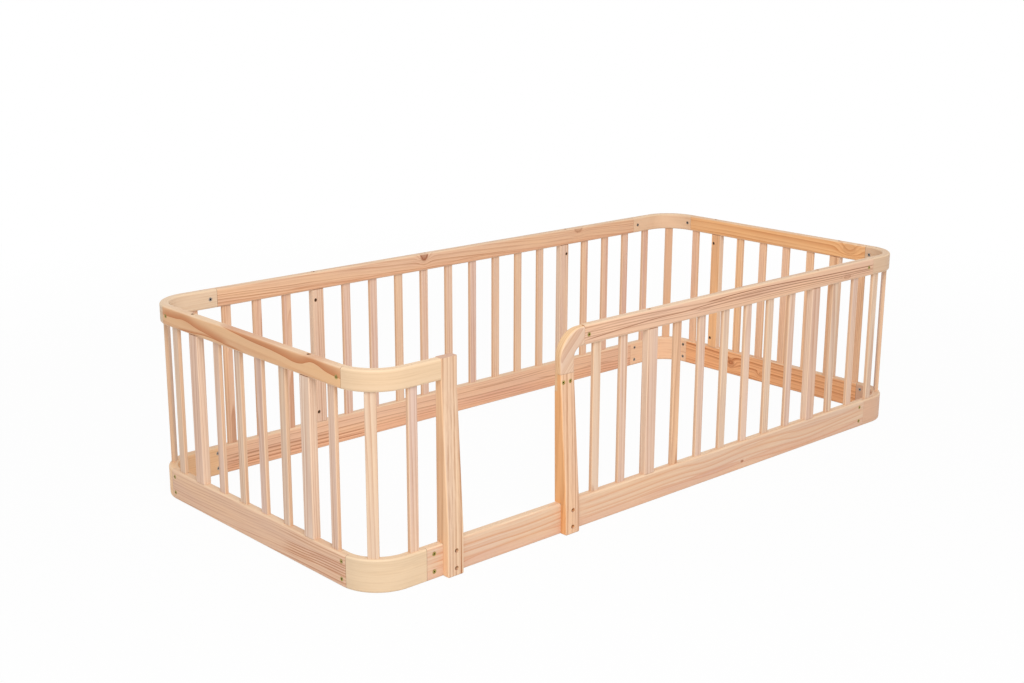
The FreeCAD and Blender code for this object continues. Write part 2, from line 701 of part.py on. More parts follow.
HEAD_HOLE = "(Size.HeadRadius + Size.Clearance)"
SHANK_HOLE = "(Size.ShankRadius + Size.Clearance)"
SLEEVE_HOLE = "(Size.SleeveRadius + Size.Clearance / 2)"
SLEEVE_STEPS = [
    (SLEEVE_HOLE, "Size.SleeveFlange - Size.RailThick"),
    (HEAD_HOLE, "-Size.RailThick - Size.DrillOver"),
]
lap_drill = turned("lap_drill", [
    ("0", "Size.PostLean"),
    (HEAD_HOLE, "-Size.HeadThick"),
    (SHANK_HOLE, f"-{HALF_THICK}"),
    *SLEEVE_STEPS,
])
post_drill = turned("post_drill", [
    ("0", "Size.PostLean + Size.DrillOver"),
    (HEAD_HOLE, "Size.PostHeadOut - Size.HeadThick"),
    (SHANK_HOLE, f"-{HALF_THICK}"),
    *SLEEVE_STEPS,
])
upper_drill = turned("upper_drill", [
    ("0", "Size.DrillOver"),
    (HEAD_HOLE, "-Size.UpperHeadSunk - Size.HeadThick"),
    (SHANK_HOLE, "-Size.UpperHeadSunk - Size.UpperBoltLong - Size.DrillOver"),
])
lower_drill = turned("lower_drill", [
    ("0", "Size.DrillOver"),
    (HEAD_HOLE, "-Size.LowerHeadSunk - Size.HeadThick"),
    (SHANK_HOLE, "-Size.LowerHeadSunk - Size.LowerBoltLong - Size.DrillOver"),
])
barrel_drill = turned("barrel_drill", [
    ("0", "Size.DrillOver"),
    ("(Size.BarrelRadius + Size.Clearance / 2)", "-Size.BarrelSunk - Size.BarrelLong - Size.Clearance"),
])


# ---------------------------------------------------------------- fasteners in their places
GROUPS = (
    "lap_bolts",
    "post_bolts",
    "sleeve_nuts",
    "upper_rail_bolts",
    "lower_rail_bolts",
    "barrel_nuts",
    "dowels",
)
groups = {node: [] for node in GROUPS}
cutters = list(slats)


def copy_of(pattern, x, y, z, rotation):
    copy = doc.addObject("App::Link", f"{pattern.Label}_copy")
    copy.LinkedObject = pattern
    place(copy, x, f"{RING_SHIFT} + {y}", z, rotation)
    return copy


def joint_bolt(x, y, z, out, pattern=lap_bolt, cutter=lap_drill, node="lap_bolts", head_out="0"):
    """A bolt from the ring's outer face with its sleeve nut in the inner face. x and y are on the
    outer face; out is the direction away from the bed."""
    def moved(distance):
        return f"{x} + {out[0]} * ({distance})", f"{y} + {out[1]} * ({distance})"

    groups[node].append(copy_of(pattern, *moved(head_out), z, facing(*out)))
    groups["sleeve_nuts"].append(copy_of(sleeve, *moved("-Size.RailThick"), z, facing(-out[0], -out[1])))
    cutters.append(copy_of(cutter, x, y, z, facing(*out)))


UPPER_BOLT_Z = "(Size.BedHeight - Size.UpperHeight / 2)"
for where, (side_x, side_y) in SIDES.items():
    long_face = (signed(side_x, "Size.LongLapBolt"), signed(side_y, HALF_WIDTH))
    short_face = (signed(side_x, HALF_LENGTH), signed(side_y, "Size.ShortLapBolt"))
    for z in ("Size.LapBoltLow", "Size.LapBoltHigh"):
        joint_bolt(*long_face, z, (0, side_y))
        joint_bolt(*short_face, z, (side_x, 0))
    joint_bolt(*short_face, UPPER_BOLT_Z, (side_x, 0))
    if where != "front_left":
        joint_bolt(*long_face, UPPER_BOLT_Z, (0, side_y))

FRONT_FACE = f"-{HALF_WIDTH}"
joint_bolt("Size.BlockRailBoltX", FRONT_FACE, UPPER_BOLT_Z, (0, -1))
for side in (-1, 1):
    block_bolt_x = f"Size.BlockPostBoltX + {side} * Size.BlockPostBoltGap / 2"
    joint_bolt(block_bolt_x, FRONT_FACE, "Size.BlockPostBoltZ", (0, -1))
for post_x in ("Size.LeftPostBoltX", "Size.RightPostBoltX"):
    for z in ("Size.LapBoltLow", "Size.LapBoltHigh"):
        post_kit = (post_bolt, post_drill, "post_bolts", "Size.PostHeadOut")
        joint_bolt(post_x, FRONT_FACE, z, (0, -1), *post_kit)

DOWN = FreeCAD.Rotation(Vector(1, 0, 0), 180)
UP = FreeCAD.Rotation()
for node, (x, y, angle, bolt_side, inward) in WIDE_SLATS.items():
    along = (abs(inward[1]), abs(inward[0]))
    bolt_x = f"{x} + {along[0] * bolt_side} * Size.SlatBoltShift"
    bolt_y = f"{y} + {along[1] * bolt_side} * Size.SlatBoltShift"
    dowel_x = f"{x} - {along[0] * bolt_side} * Size.SlatBoltShift"
    dowel_y = f"{y} - {along[1] * bolt_side} * Size.SlatBoltShift"
    head_z = "Size.BedHeight - Size.UpperHeadSunk"
    groups["upper_rail_bolts"].append(copy_of(upper_bolt, bolt_x, bolt_y, head_z, UP))
    cutters.append(copy_of(upper_drill, bolt_x, bolt_y, "Size.BedHeight", UP))
    groups["lower_rail_bolts"].append(copy_of(lower_bolt, bolt_x, bolt_y, "Size.LowerHeadSunk", DOWN))
    cutters.append(copy_of(lower_drill, bolt_x, bolt_y, "0", DOWN))
    barrel_x = f"{bolt_x} + {inward[0]} * Size.BarrelLong / 2"
    barrel_y = f"{bolt_y} + {inward[1]} * Size.BarrelLong / 2"
    mouth_x = f"{bolt_x} + {inward[0]} * Size.WideSlatThick / 2"
    mouth_y = f"{bolt_y} + {inward[1]} * Size.WideSlatThick / 2"
    for z in (f"{UPPER_FLOOR} - Size.BarrelReach", "Size.LowerHeight + Size.BarrelReach"):
        groups["barrel_nuts"].append(copy_of(barrel, barrel_x, barrel_y, z, facing(*inward)))
        cutters.append(copy_of(barrel_drill, mouth_x, mouth_y, z, facing(*inward)))
    for z in (f"{UPPER_FLOOR} + Size.DowelLong / 2", "Size.LowerHeight + Size.DowelLong / 2"):
        pin_copy = copy_of(dowel, dowel_x, dowel_y, z, UP)
        groups["dowels"].append(pin_copy)
        cutters.append(pin_copy)

# Two dowels tie the near corner's square end to the left post.
for side in (-1, 1):
    dowel_z = f"{UPPER_BOLT_Z} + {side} * Size.UpperHeight / 4"
    pin_copy = copy_of(dowel, "Size.LeftPostX + Size.DowelLong / 2", FRONT_Y, dowel_z, facing(1, 0))
    groups["dowels"].append(pin_copy)
    cutters.append(pin_copy)
doc.recompute()


# ---------------------------------------------------------------- cutting the joints
# Each board loses the space of whatever is let into it: slat ends, bolts, nuts and dowels.
def overlaps(one, other):
    """Whether two boxes share more than a touch."""
    touch = mm("Size.Clearance") / 2
    gaps = (
        min(one.XMax, other.XMax) - max(one.XMin, other.XMin),
        min(one.YMax, other.YMax) - max(one.YMin, other.YMin),
        min(one.ZMax, other.ZMax) - max(one.ZMin, other.ZMin),
    )
    return min(gaps) > touch


boxes = [(cutter, Part.getShape(cutter).BoundBox) for cutter in cutters]
for node, blank in blanks.items():
    blank_box = Part.getShape(blank).BoundBox
    let_in = [cutter for cutter, box in boxes if overlaps(blank_box, box)]
    tools = doc.addObject("Part::Compound", f"let_into_{node}")
    tools.Links = let_in
    board = doc.addObject("Part::Cut", node)
    board.Base = blank
    board.Tool = tools
    board.Refine = True
    finished(board, node)

for node, copies in groups.items():
    group = doc.addObject("Part::Compound", node)
    group.Links = copies
    finished(group, node)
doc.recompute()

# ---------------------------------------------------------------- check and write
for thing in doc.Objects:
    assert not {"Invalid", "Error"} & set(thing.State), f"{thing.Label}: {thing.State}"
for piece in subparts:
    assert not piece.Shape.isNull() and piece.Shape.isValid(), f"{piece.Label}: bad shape"
assert len(subparts) <= 60, len(subparts)
for piece in subparts:
    piece.Shape.exportStep(f"parts/{piece.Label}.step")
    print(f"{piece.Label:28s} {len(piece.Shape.Solids):3d} solids {piece.Shape.Volume / 1000:9.1f} cm3")
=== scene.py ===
import math

import bpy
import numpy as np
from mathutils import Matrix, Vector


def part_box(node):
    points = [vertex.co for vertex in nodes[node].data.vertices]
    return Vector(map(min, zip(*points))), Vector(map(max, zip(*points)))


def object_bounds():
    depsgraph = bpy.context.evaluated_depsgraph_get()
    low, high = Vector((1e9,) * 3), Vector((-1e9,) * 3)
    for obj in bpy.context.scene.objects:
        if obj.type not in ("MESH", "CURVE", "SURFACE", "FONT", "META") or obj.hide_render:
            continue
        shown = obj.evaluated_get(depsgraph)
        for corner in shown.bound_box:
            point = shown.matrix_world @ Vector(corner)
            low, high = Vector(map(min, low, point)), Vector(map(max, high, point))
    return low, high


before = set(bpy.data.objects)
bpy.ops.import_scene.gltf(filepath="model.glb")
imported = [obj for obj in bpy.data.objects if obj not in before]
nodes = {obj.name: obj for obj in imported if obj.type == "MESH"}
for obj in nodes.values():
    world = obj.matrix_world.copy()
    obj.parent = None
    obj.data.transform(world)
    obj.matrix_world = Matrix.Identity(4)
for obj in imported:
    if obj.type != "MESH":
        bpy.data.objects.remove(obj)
cad_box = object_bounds()

# ---------------------------------------------------------------- Camera
# A normal lens at a grown-up's eye level, off the bed's near left corner, looking a little down at it. Its
# place and turn put the rails' edges and joints where the photograph has them.
EYE = (-2.83335, -2.90283, 1.41043)
TURN, TILT, ROLL = 42.520, 14.938, 0.240
FILM_WIDTH, FOCAL_LENGTH, FAR_CLIP = 36, 51.183, 200
camera = bpy.data.objects.new("camera", bpy.data.cameras.new("camera"))
bpy.context.scene.collection.objects.link(camera)
camera.data.sensor_fit = "HORIZONTAL"
camera.data.sensor_width = FILM_WIDTH
camera.data.lens = FOCAL_LENGTH
camera.data.clip_end = FAR_CLIP
camera.matrix_world = (
    Matrix.Translation(EYE)
    @ Matrix.Rotation(math.radians(-TURN), 4, "Z")
    @ Matrix.Rotation(math.radians(90 - TILT), 4, "X")
    @ Matrix.Rotation(math.radians(ROLL), 4, "Z")
)
bpy.context.scene.camera = camera


# ---------------------------------------------------------------- Lower ring, straight rails
# Four pine boards, planed and sanded, stand on edge on the floor. Their long edges are rounded over.
# Each end is cut back to a half lap that a bent corner closes; they are oiled thinly, without colour.
def lay(tree, kind, *feeds, **settings):
    """Adds a node, sets it up, and fills its inputs in order: a socket by a link, a number by its value."""
    node = tree.nodes.new("ShaderNode" + kind)
    for setting, value in settings.items():
        setattr(node, setting, value)
    for socket, feed in zip([s for s in node.inputs if s.enabled], feeds):
        if isinstance(feed, bpy.types.NodeSocket):
            tree.links.new(feed, socket)
        elif feed is not None:
            socket.default_value = feed
    return [s for s in node.outputs if s.enabled][0]


def work(tree, operation, *feeds):
    """One sum on numbers."""
    return lay(tree, "Math", *feeds, operation=operation)


def aim(tree, operation, *feeds):
    """One sum on vectors."""
    return lay(tree, "VectorMath", *feeds, operation=operation)


def parts_of(tree, vector):
    """A vector's three numbers."""
    split = lay(tree, "SeparateXYZ", vector).node
    return [split.outputs[axis] for axis in "XYZ"]


def length_of(tree, vector):
    """A vector's length."""
    return aim(tree, "LENGTH", vector).node.outputs["Value"]


def slope(tree, value, low, high, start=0.0, end=1.0):
    """A smooth step: start below low, end above high, and an S-shaped rise between them."""
    return lay(tree, "MapRange", value, low, high, start, end, interpolation_type="SMOOTHSTEP")


def blend(tree, share, under, over, blend_type="MIX"):
    """Colours mixed by share."""
    return lay(tree, "Mix", share, under, over, data_type="RGBA", blend_type=blend_type)


def grain_noise(tree, place, along, across, detail=2.0, rough=0.5):
    """Noise stretched along the grain: its patches are along mm long and across mm wide."""
    stretched = aim(tree, "MULTIPLY", place, (1 / along, 1 / across, 1 / across))
    return lay(tree, "TexNoise", stretched, 1.0, detail, rough)


def tone(red, green, blue):
    """A colour seen on the wood, in screen values from 0 to 255, as the light values that a shader takes."""
    share = np.array((red, green, blue)) / 255
    light = np.where(share <= 0.04045, share / 12.92, ((share + 0.055) / 1.055) ** 2.4)
    return (*light.tolist(), 1.0)


def new_finish(name):
    """A new material for one finish, with the tree of its nodes."""
    material = bpy.data.materials.new(name)
    material.use_nodes = True
    return material, material.node_tree


def coat(tree, colour, rough, relief, depth, height):
    """Gives a finish its colour, its roughness, and a fine relief that follows height, depth metres deep."""
    shader = tree.nodes["Principled BSDF"]
    tree.links.new(colour, shader.inputs["Base Color"])
    tree.links.new(rough, shader.inputs["Roughness"])
    bump = lay(tree, "Bump", relief, depth)
    tree.links.new(height, bump.node.inputs["Height"])
    tree.links.new(bump, shader.inputs["Normal"])
    return shader


OILED_IOR, OILED_SPECULAR, PORE_DEPTH = 1.45, 0.35, 0.0003


def oil(tree, colour, rough, relief, height):
    """A thin coat of oil: the wood keeps its colour and a dull gloss, and its pores stay open."""
    shader = coat(tree, colour, rough, relief, PORE_DEPTH, height)
    shader.inputs["IOR"].default_value = OILED_IOR
    shader.inputs["Specular IOR Level"].default_value = OILED_SPECULAR


MM = 1000


def board_place(tree, middle, along, across):
    """Where a point lies in its board, in mm, and which way its surface faces, both as three numbers: along
    the grain, across the board's face, and out of that face."""
    turn = Matrix((along, across, Vector(along).cross(Vector(across))))
    shift = turn @ Vector(middle) * -MM
    here = tree.nodes.new("ShaderNodeTexCoord")
    place = lay(tree, "Mapping", here.outputs["Object"], shift, turn.to_euler(), (MM, MM, MM))
    face = lay(tree, "Mapping", here.outputs["Normal"], turn.to_euler(), vector_type="NORMAL")
    return place, face


def own_lath(tree, place, seed, spacing, offset):
    """For a node that holds a row of laths: the place within one lath, shifted so that each lath is cut from
    another stretch of wood, and a number between 0 and 1 of the lath's own."""
    along, across, out = parts_of(tree, place)
    count = work(tree, "FLOOR", work(tree, "MULTIPLY_ADD", across, 1 / spacing, offset))
    tint = lay(tree, "TexWhiteNoise", work(tree, "ADD", count, seed * 1.37), noise_dimensions="1D")
    within_lath = work(tree, "MULTIPLY_ADD", count, -spacing, across)
    place = lay(tree, "CombineXYZ", work(tree, "MULTIPLY_ADD", tint, 900.0, along),
                work(tree, "MULTIPLY_ADD", tint, 40.0, within_lath), out)
    return place, tint


DRIFT_ACROSS = 95


def bend_grain(tree, place, own, wander, wave):
    """The place along, across and out of the board after noise has pushed it sideways, by up to about wander
    mm, in waves that are wave mm long."""
    drift = grain_noise(tree, own, wave, DRIFT_ACROSS, 2.0, 0.45)
    push = aim(tree, "SUBTRACT", drift, (0.5, 0.5, 0.5))
    return parts_of(tree, aim(tree, "MULTIPLY_ADD", push, (0, wander * 2, wander * 2), place))


YEAR_UNEVENNESS = 1.6


def year_number(tree, along, across, out, heart, lean, ring, seed):
    """Which year a point grew in. Each year's wood is a tube about the pith line, so its number is the
    distance from that line over a ring's width. The line passes heart mm from the board's middle, across and
    out, and leans by lean mm in each mm along. A slow noise makes some years wider than others."""
    side = work(tree, "SUBTRACT", across, work(tree, "MULTIPLY_ADD", along, lean[0], heart[0]))
    deep = work(tree, "SUBTRACT", out, work(tree, "MULTIPLY_ADD", along, lean[1], heart[1]))
    far = length_of(tree, lay(tree, "CombineXYZ", side, deep, 0.0))
    years = lay(tree, "TexNoise", work(tree, "MULTIPLY_ADD", far, 0.35 / ring, seed * 3.1), 1.0, 1.0,
                noise_dimensions="1D")
    return work(tree, "MULTIPLY_ADD", far, 1 / ring, work(tree, "MULTIPLY", years, YEAR_UNEVENNESS))


KNOT_PUSH = 2.4


def knots_in(tree, place, own, number, knots):
    """Each knot is an uneven oval, given by its middle along and across the board, its half length and half
    height in mm, and its strength. It pushes the years apart, is brown inside and darker at its rim."""
    dark = 0.0
    for along, across, half_along, half_across, strength in knots:
        off = aim(tree, "MULTIPLY", aim(tree, "SUBTRACT", place, (along, across, 0)),
                  (1 / half_along, 1 / half_across, 0))
        ripple = lay(tree, "TexNoise", aim(tree, "SCALE", own, None, None, 0.11), 1.0, 1.0)
        gap = work(tree, "ADD", length_of(tree, off), work(tree, "MULTIPLY_ADD", ripple, 0.7, -0.35))
        swell = work(tree, "EXPONENT", work(tree, "MULTIPLY", work(tree, "POWER", gap, 2.0), -0.35))
        number = work(tree, "MULTIPLY_ADD", swell, KNOT_PUSH, number)
        core = slope(tree, gap, 0.75, 1.15, 0.6 * strength, 0.0)
        rim = work(tree, "MULTIPLY", slope(tree, gap, 0.55, 0.95), slope(tree, gap, 1.0, 1.35, strength, 0.0))
        dark = work(tree, "MAXIMUM", work(tree, "MAXIMUM", core, rim), dark)
    return number, dark


# How far each figure in the wood reaches along the grain and across it, in mm.
PATCH, STREAK, CLOUD, FIBRE = (380, 60), (230, 3.6), (330, 48), (16, 1.1)


def late_wood(tree, own, number, streak, depth, thin):
    """How dark the late wood is. Within a year it rises slowly, as the grown share to the power thin, and
    ends sharply. Years differ in strength, patches in clearness, and fine streaks run through both."""
    grown = work(tree, "FRACT", number)
    rise = work(tree, "POWER", grown, thin)
    drop = slope(tree, grown, 0.88, 1.0, 1.0, 0.0)
    year = lay(tree, "TexWhiteNoise", work(tree, "FLOOR", number), noise_dimensions="1D")
    strong = work(tree, "MULTIPLY_ADD", year, 0.7, 0.3)
    clear = slope(tree, grain_noise(tree, own, *PATCH), 0.38, 0.6, 0.6, 1.15)
    strong = work(tree, "MULTIPLY", work(tree, "MULTIPLY", strong, clear), depth)
    line = work(tree, "MULTIPLY", work(tree, "MULTIPLY", rise, drop), strong)
    line = work(tree, "MULTIPLY_ADD", work(tree, "SUBTRACT", streak, 0.5), 0.7 * depth, line)
    return work(tree, "MAXIMUM", line, 0.0)


MARK_REACH, MARK_FADE, CREST_HEIGHT, BAND_SHARE = 100.0, 70, 4.0, 0.75


def late_mark(tree, along, across, points, width, strength):
    """One broad late year on a flat-sawn face. Its lower edge is sharp, with a darker crest, and follows a
    smooth curve through the points, given along and across the board in mm. Above that edge it fades out
    over its width, and at both ends over MARK_FADE. The curve holds heights as a share of MARK_REACH."""
    start, end = points[0][0], points[-1][0]
    bend = tree.nodes.new("ShaderNodeFloatCurve")
    share_along = work(tree, "MULTIPLY_ADD", along, 1 / (end - start), -start / (end - start))
    tree.links.new(share_along, bend.inputs["Value"])
    line = bend.mapping.curves[0].points
    while len(line) < len(points):
        line.new(0.5, 0.5)
    for spot, (far, high) in zip(line, points):
        spot.location = ((far - start) / (end - start), high / MARK_REACH + 0.5)
    bend.mapping.update()
    lower_edge = work(tree, "MULTIPLY_ADD", bend.outputs[0], MARK_REACH, -MARK_REACH / 2)
    above = work(tree, "SUBTRACT", across, lower_edge)
    band = work(tree, "MULTIPLY", slope(tree, above, -0.4, 1.4), slope(tree, above, 1.0, width, 1.0, 0.0))
    crest = work(tree, "MULTIPLY", slope(tree, above, -0.6, 0.6),
                 slope(tree, above, 0.8, CREST_HEIGHT, 1.0, 0.0))
    band = work(tree, "MAXIMUM", work(tree, "MULTIPLY", band, BAND_SHARE), crest)
    ends = work(tree, "MULTIPLY", slope(tree, along, start, start + MARK_FADE),
                slope(tree, along, end - MARK_FADE, end, 1.0, 0.0))
    return work(tree, "MULTIPLY", work(tree, "MULTIPLY", band, ends), strength)


def uneven(tree, colour, fibre, cloud, tint):
    """Fibres and broad clouds make the wood lighter and darker by up to 8 hundredths each. Where a cloud or a
    lath's own tint is high the wood is also warmer: redder, and less blue."""
    grey = work(tree, "MULTIPLY_ADD", fibre, 0.16, 0.92)
    grey = work(tree, "MULTIPLY", grey, work(tree, "MULTIPLY_ADD", cloud, 0.16, 0.92))
    warm = work(tree, "MULTIPLY", work(tree, "SUBTRACT", cloud, 0.5), 0.25)
    if tint is not None:
        warm = work(tree, "MULTIPLY_ADD", work(tree, "SUBTRACT", tint, 0.5), 0.16, warm)
    shade = lay(tree, "CombineColor", work(tree, "MULTIPLY_ADD", warm, 0.2, grey), grey,
                work(tree, "SUBTRACT", grey, warm))
    return blend(tree, 1.0, colour, shade, "MULTIPLY")


# Sawn ends: the end grain's own darker colour, and painted shade in the joint gaps between parts.
END_GRAIN_AND_GAP_SHADE = tone(112, 66, 40)
# Pale tone of the painted highlight along the rounded arrises.
ARRIS_HIGHLIGHT_TONE = tone(246, 218, 186)
KNOT_TONE = tone(150, 76, 38)


def pine(name, place_in, early, late, heart, ring, seed, lean=(0, 0.012), wander=9.0, wave=420, depth=0.95,
         thin=1.7, knots=(), marks=(), edge=None, flush=None, pitch=None, end_and_gap_tone=END_GRAIN_AND_GAP_SHADE):
    """Sawn and oiled pine: early and late wood, then marks and knots over them. Edge is the narrow faces'
    tone, and the end tone the sawn ends', partly their own darker end grain and partly painted shade in the
    joint gaps. Flush is a height with a tint for the wood below it, and pitch the spacing and offset of a
    row of laths. The rounded arrises get a painted highlight: a paler tone here and there."""
    material, tree = new_finish(name)
    place, face = place_in(tree)
    tint = None
    if pitch is not None:
        place, tint = own_lath(tree, place, seed, *pitch)
    own = aim(tree, "ADD", place, (seed * 311.7, seed * 127.3, seed * 74.9))
    streak = grain_noise(tree, own, *STREAK, 3.0, 0.6)
    cloud = grain_noise(tree, own, *CLOUD)
    fibre = grain_noise(tree, own, *FIBRE, 2.0, 0.6)

    bent_along, bent_across, bent_out = bend_grain(tree, place, own, wander, wave)
    number = year_number(tree, bent_along, bent_across, bent_out, heart, lean, ring, seed)
    number, dark_knot = knots_in(tree, place, own, number, knots)
    line = late_wood(tree, own, number, streak, depth, thin)
    along, across, _ = parts_of(tree, place)
    for mark in marks:
        line = work(tree, "MAXIMUM", line, late_mark(tree, along, across, *mark))

    colour = blend(tree, line, early, late)
    if flush is not None:
        below, flush_tone = flush
        height = work(tree, "MULTIPLY_ADD", cloud, 44.0, work(tree, "SUBTRACT", bent_across, 22.0))
        share = slope(tree, height, below - 16, below + 10, 0.8, 0.0)
        colour = blend(tree, share, colour, flush_tone, "MULTIPLY")
    colour = uneven(tree, colour, fibre, cloud, tint)
    if knots:
        colour = blend(tree, dark_knot, colour, KNOT_TONE)

    faces_along, faces_across, faces_out = parts_of(tree, face)
    slant = work(tree, "MULTIPLY", faces_across, faces_out)
    arris = slope(tree, work(tree, "MULTIPLY", slant, work(tree, "MULTIPLY", slant, 4.0)), 0.1, 0.9)
    # Painted highlight: the rounded arrises turn paler in patches that follow the streaks.
    arris_highlight = work(tree, "MULTIPLY", arris, slope(tree, streak, 0.42, 0.62, 0.1, 0.5))
    if edge is not None:
        narrow = slope(tree, work(tree, "ABSOLUTE", faces_across), 0.35, 0.85, 0.0, 0.8)
        colour = blend(tree, narrow, colour, blend(tree, work(tree, "MULTIPLY", line, 0.7), edge, late))
    colour = blend(tree, arris_highlight, colour, ARRIS_HIGHLIGHT_TONE)
    # The sawn ends take the end tone: their own darker grain, and painted shade in the joint gaps.
    sawn_end = slope(tree, work(tree, "ABSOLUTE", faces_along), 0.6, 0.95)
    colour = blend(tree, sawn_end, colour, end_and_gap_tone)

    rough = work(tree, "MULTIPLY_ADD", line, -0.12, work(tree, "MULTIPLY_ADD", fibre, 0.22, 0.42))
    height = work(tree, "MULTIPLY_ADD", line, 0.6, work(tree, "MULTIPLY", fibre, 0.35))
    oil(tree, colour, rough, 0.35, height)
    return material


def dress(node, material):
    """Puts one finish on a whole CAD node."""
    slots = nodes[node].data.materials
    if not slots:
        slots.append(material)
    for place in range(len(slots)):
        slots[place] = material


def board(node, along, across):
    """The place of one node's board, from the middle of its box."""
    low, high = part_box(node)
    return lambda tree: board_place(tree, (low + high) / 2, along, across)


ALONG_X, ALONG_Y, UP = (1, 0, 0), (0, 1, 0), (0, 0, 1)
TOP_TONE = tone(230, 200, 168)
# Knots and marks are given in mm from the board's middle, along its length and up its face.
LOWER_RAILS = {
    "back": dict(early=tone(242, 198, 164), late=tone(160, 84, 40), heart=(-150, 40), lean=(-0.012, 0.0),
                 seed=2, ring=9.0, thin=2.4, depth=0.8, flush=(-4, tone(252, 240, 236)),
                 marks=((((-840, -1), (-700, 0), (-520, -3), (-420, -4)), 7, 0.8),
                        (((-840, -13), (-680, -12), (-520, -14), (-300, -16)), 6, 0.8),
                        (((-840, -25), (-640, -24), (-420, -28), (-300, -30)), 6, 0.8),
                        (((60, 22), (180, 18), (300, 21), (440, 25)), 6, 0.45),
                        (((350, 4), (430, -3), (560, -12)), 6, 0.6),
                        (((560, -4), (640, -2), (760, -7)), 6, 0.5))),
    "front": dict(early=tone(231, 199, 170), late=tone(206, 122, 60), heart=(-170, 60), lean=(0.0, 0.0),
                  seed=3, ring=13.0, wander=17, wave=300, thin=1.2, depth=0.45,
                  knots=((280, -17, 5, 3, 1.0),), flush=(-16, tone(252, 240, 238)),
                  marks=((((-400, 18), (-200, 22), (0, 26), (130, 17), (330, 27), (450, 22), (560, 14),
                           (680, 14), (900, 32)), 11, 0.5),
                         (((-400, 2), (-200, 3), (0, 7), (130, 1), (250, 8), (350, 11), (450, 5),
                           (560, -5), (660, -2), (900, 15)), 11, 0.5),
                         (((-400, -10), (-200, -10), (0, -6), (150, -13), (300, -7), (450, -12),
                           (560, -18), (700, -10), (900, 0)), 9, 0.45),
                         (((-400, -23), (0, -19), (150, -25), (300, -22), (450, -30), (600, -32),
                           (900, -17)), 9, 0.45),
                         (((-900, 19), (-650, 17), (-560, 15), (-380, 22)), 9, 0.6),
                         (((-900, 0), (-650, -1), (-560, -3), (-380, 5)), 9, 0.6),
                         (((-900, -10), (-560, -15), (-380, -5)), 9, 0.45),
                         (((-820, -36), (-700, -18), (-380, -22)), 9, 0.5))),
    "left": dict(early=tone(233, 195, 165), late=tone(176, 96, 40), heart=(-170, 30), lean=(-0.03, 0.0),
                 seed=4, ring=8.0, wander=12, thin=2.2, depth=0.95,
                 marks=tuple((((-440, drop), (-300, drop - 3), (-210, drop - 9), (-110, drop - 12)), 3, 0.8)
                             for drop in (15, 8.5, 2, -4.5, -11))),
    "right": dict(early=tone(251, 190, 138), late=tone(182, 98, 42), heart=(-120, 40), lean=(0.03, 0.0),
                  seed=5, ring=10.0, wander=11, thin=1.6, depth=1.0,
                  knots=((155, -4, 15, 11, 0.35), (20, -14, 10, 6, 0.2))),
}
for where, cut in LOWER_RAILS.items():
    node = f"lower_rail_{where}"
    along = ALONG_X if where in ("back", "front") else ALONG_Y
    dress(node, pine(node, board(node, along, UP), edge=TOP_TONE, **cut))

# ---------------------------------------------------------------- Upper ring, straight rails
# Four narrower boards of the same pine hold the slats' upper ends. The front one starts at the entry block.
# They are planed and rounded like the lower ones, and their tops take the bolts of the wide slats.
UPPER_RAILS = {
    "back": dict(early=tone(237, 195, 160), late=tone(172, 94, 50), heart=(-150, 50), lean=(-0.04, 0.0),
                 seed=6, ring=8.0, wander=16, thin=1.8, depth=0.85,
                 knots=((-104, 27, 13, 19, 0.9), (556, 27, 17, 15, 0.5)), flush=(-8, tone(252, 236, 228)),
                 marks=((((-640, -15), (-500, -12), (-380, -17), (-230, -14)), 4, 0.5),
                        (((-40, -19), (80, -12), (220, -16), (330, -21)), 4, 0.5))),
    "front": dict(early=tone(236, 193, 161), late=tone(146, 80, 40), heart=(-110, 40), lean=(-0.012, 0.0),
                  seed=7, ring=7.5, wander=8, thin=3.0, depth=0.85, knots=((485, -13, 15, 5, 0.4),),
                  end_and_gap_tone=tone(204, 152, 112),
                  marks=((((-190, 8), (5, 14), (155, 13), (355, 7), (650, 3)), 4, 1.0),
                         (((-640, -16), (-445, -5), (-345, -1), (-245, -1), (-145, 3), (55, 5), (255, 3),
                           (355, 0), (650, -6)), 4, 0.85),
                         (((-220, -8), (5, -2), (205, -4), (355, -7), (650, -10)), 4, 0.75),
                         (((20, -10), (255, -11), (455, -14), (650, -16)), 4, 0.5),
                         (((-640, 3), (-495, 12), (-395, 11), (-245, 12), (-110, 8)), 5, 0.35))),
    "left": dict(early=tone(236, 189, 143), late=tone(188, 98, 26), heart=(-60, 30), lean=(0.05, 0.0),
                 seed=8, ring=24.0, wander=16, depth=0.45,
                 marks=((((-430, -3), (-339, 3), (-300, 12), (-281, 14), (-262, 10), (-236, 2), (-211, 0),
                          (-172, 4), (-117, 9), (-33, 13), (50, 20), (140, 27)), 34, 0.95),
                        (((40, -24), (106, -17), (161, -10), (217, -4), (283, 6), (328, 3),
                          (430, 3)), 28, 0.95),
                        (((-20, -25), (80, -19), (160, -15), (250, -20), (350, -25)), 9, 0.9))),
    "right": dict(early=tone(248, 193, 137), late=tone(196, 112, 50), heart=(-150, 40), lean=(0.01, 0.0),
                  seed=9, ring=11.0, wander=12, thin=1.6, depth=0.75, knots=((-300, 8, 21, 16, 0.2),)),
}
for where, cut in UPPER_RAILS.items():
    node = f"upper_rail_{where}"
    along = ALONG_X if where in ("back", "front") else ALONG_Y
    dress(node, pine(node, board(node, along, UP), edge=TOP_TONE, **cut))


# ---------------------------------------------------------------- Bent corners
# Thin pale leaves of wood, glued one on the other round a form, make each corner. Their grain runs round
# the bend, and their edges show as fine lines on top. The long edges are rounded like the rails'.
OUTSIDE_RADIUS, INSIDE_RADIUS, LEAF = 110.0, 86.0, 3.4
MIDDLE_RADIUS = (OUTSIDE_RADIUS + INSIDE_RADIUS) / 2
# Pale tone of the painted highlight along the bent corners' rounded arrises.
BENT_ARRIS_HIGHLIGHT_TONE = tone(248, 224, 190)


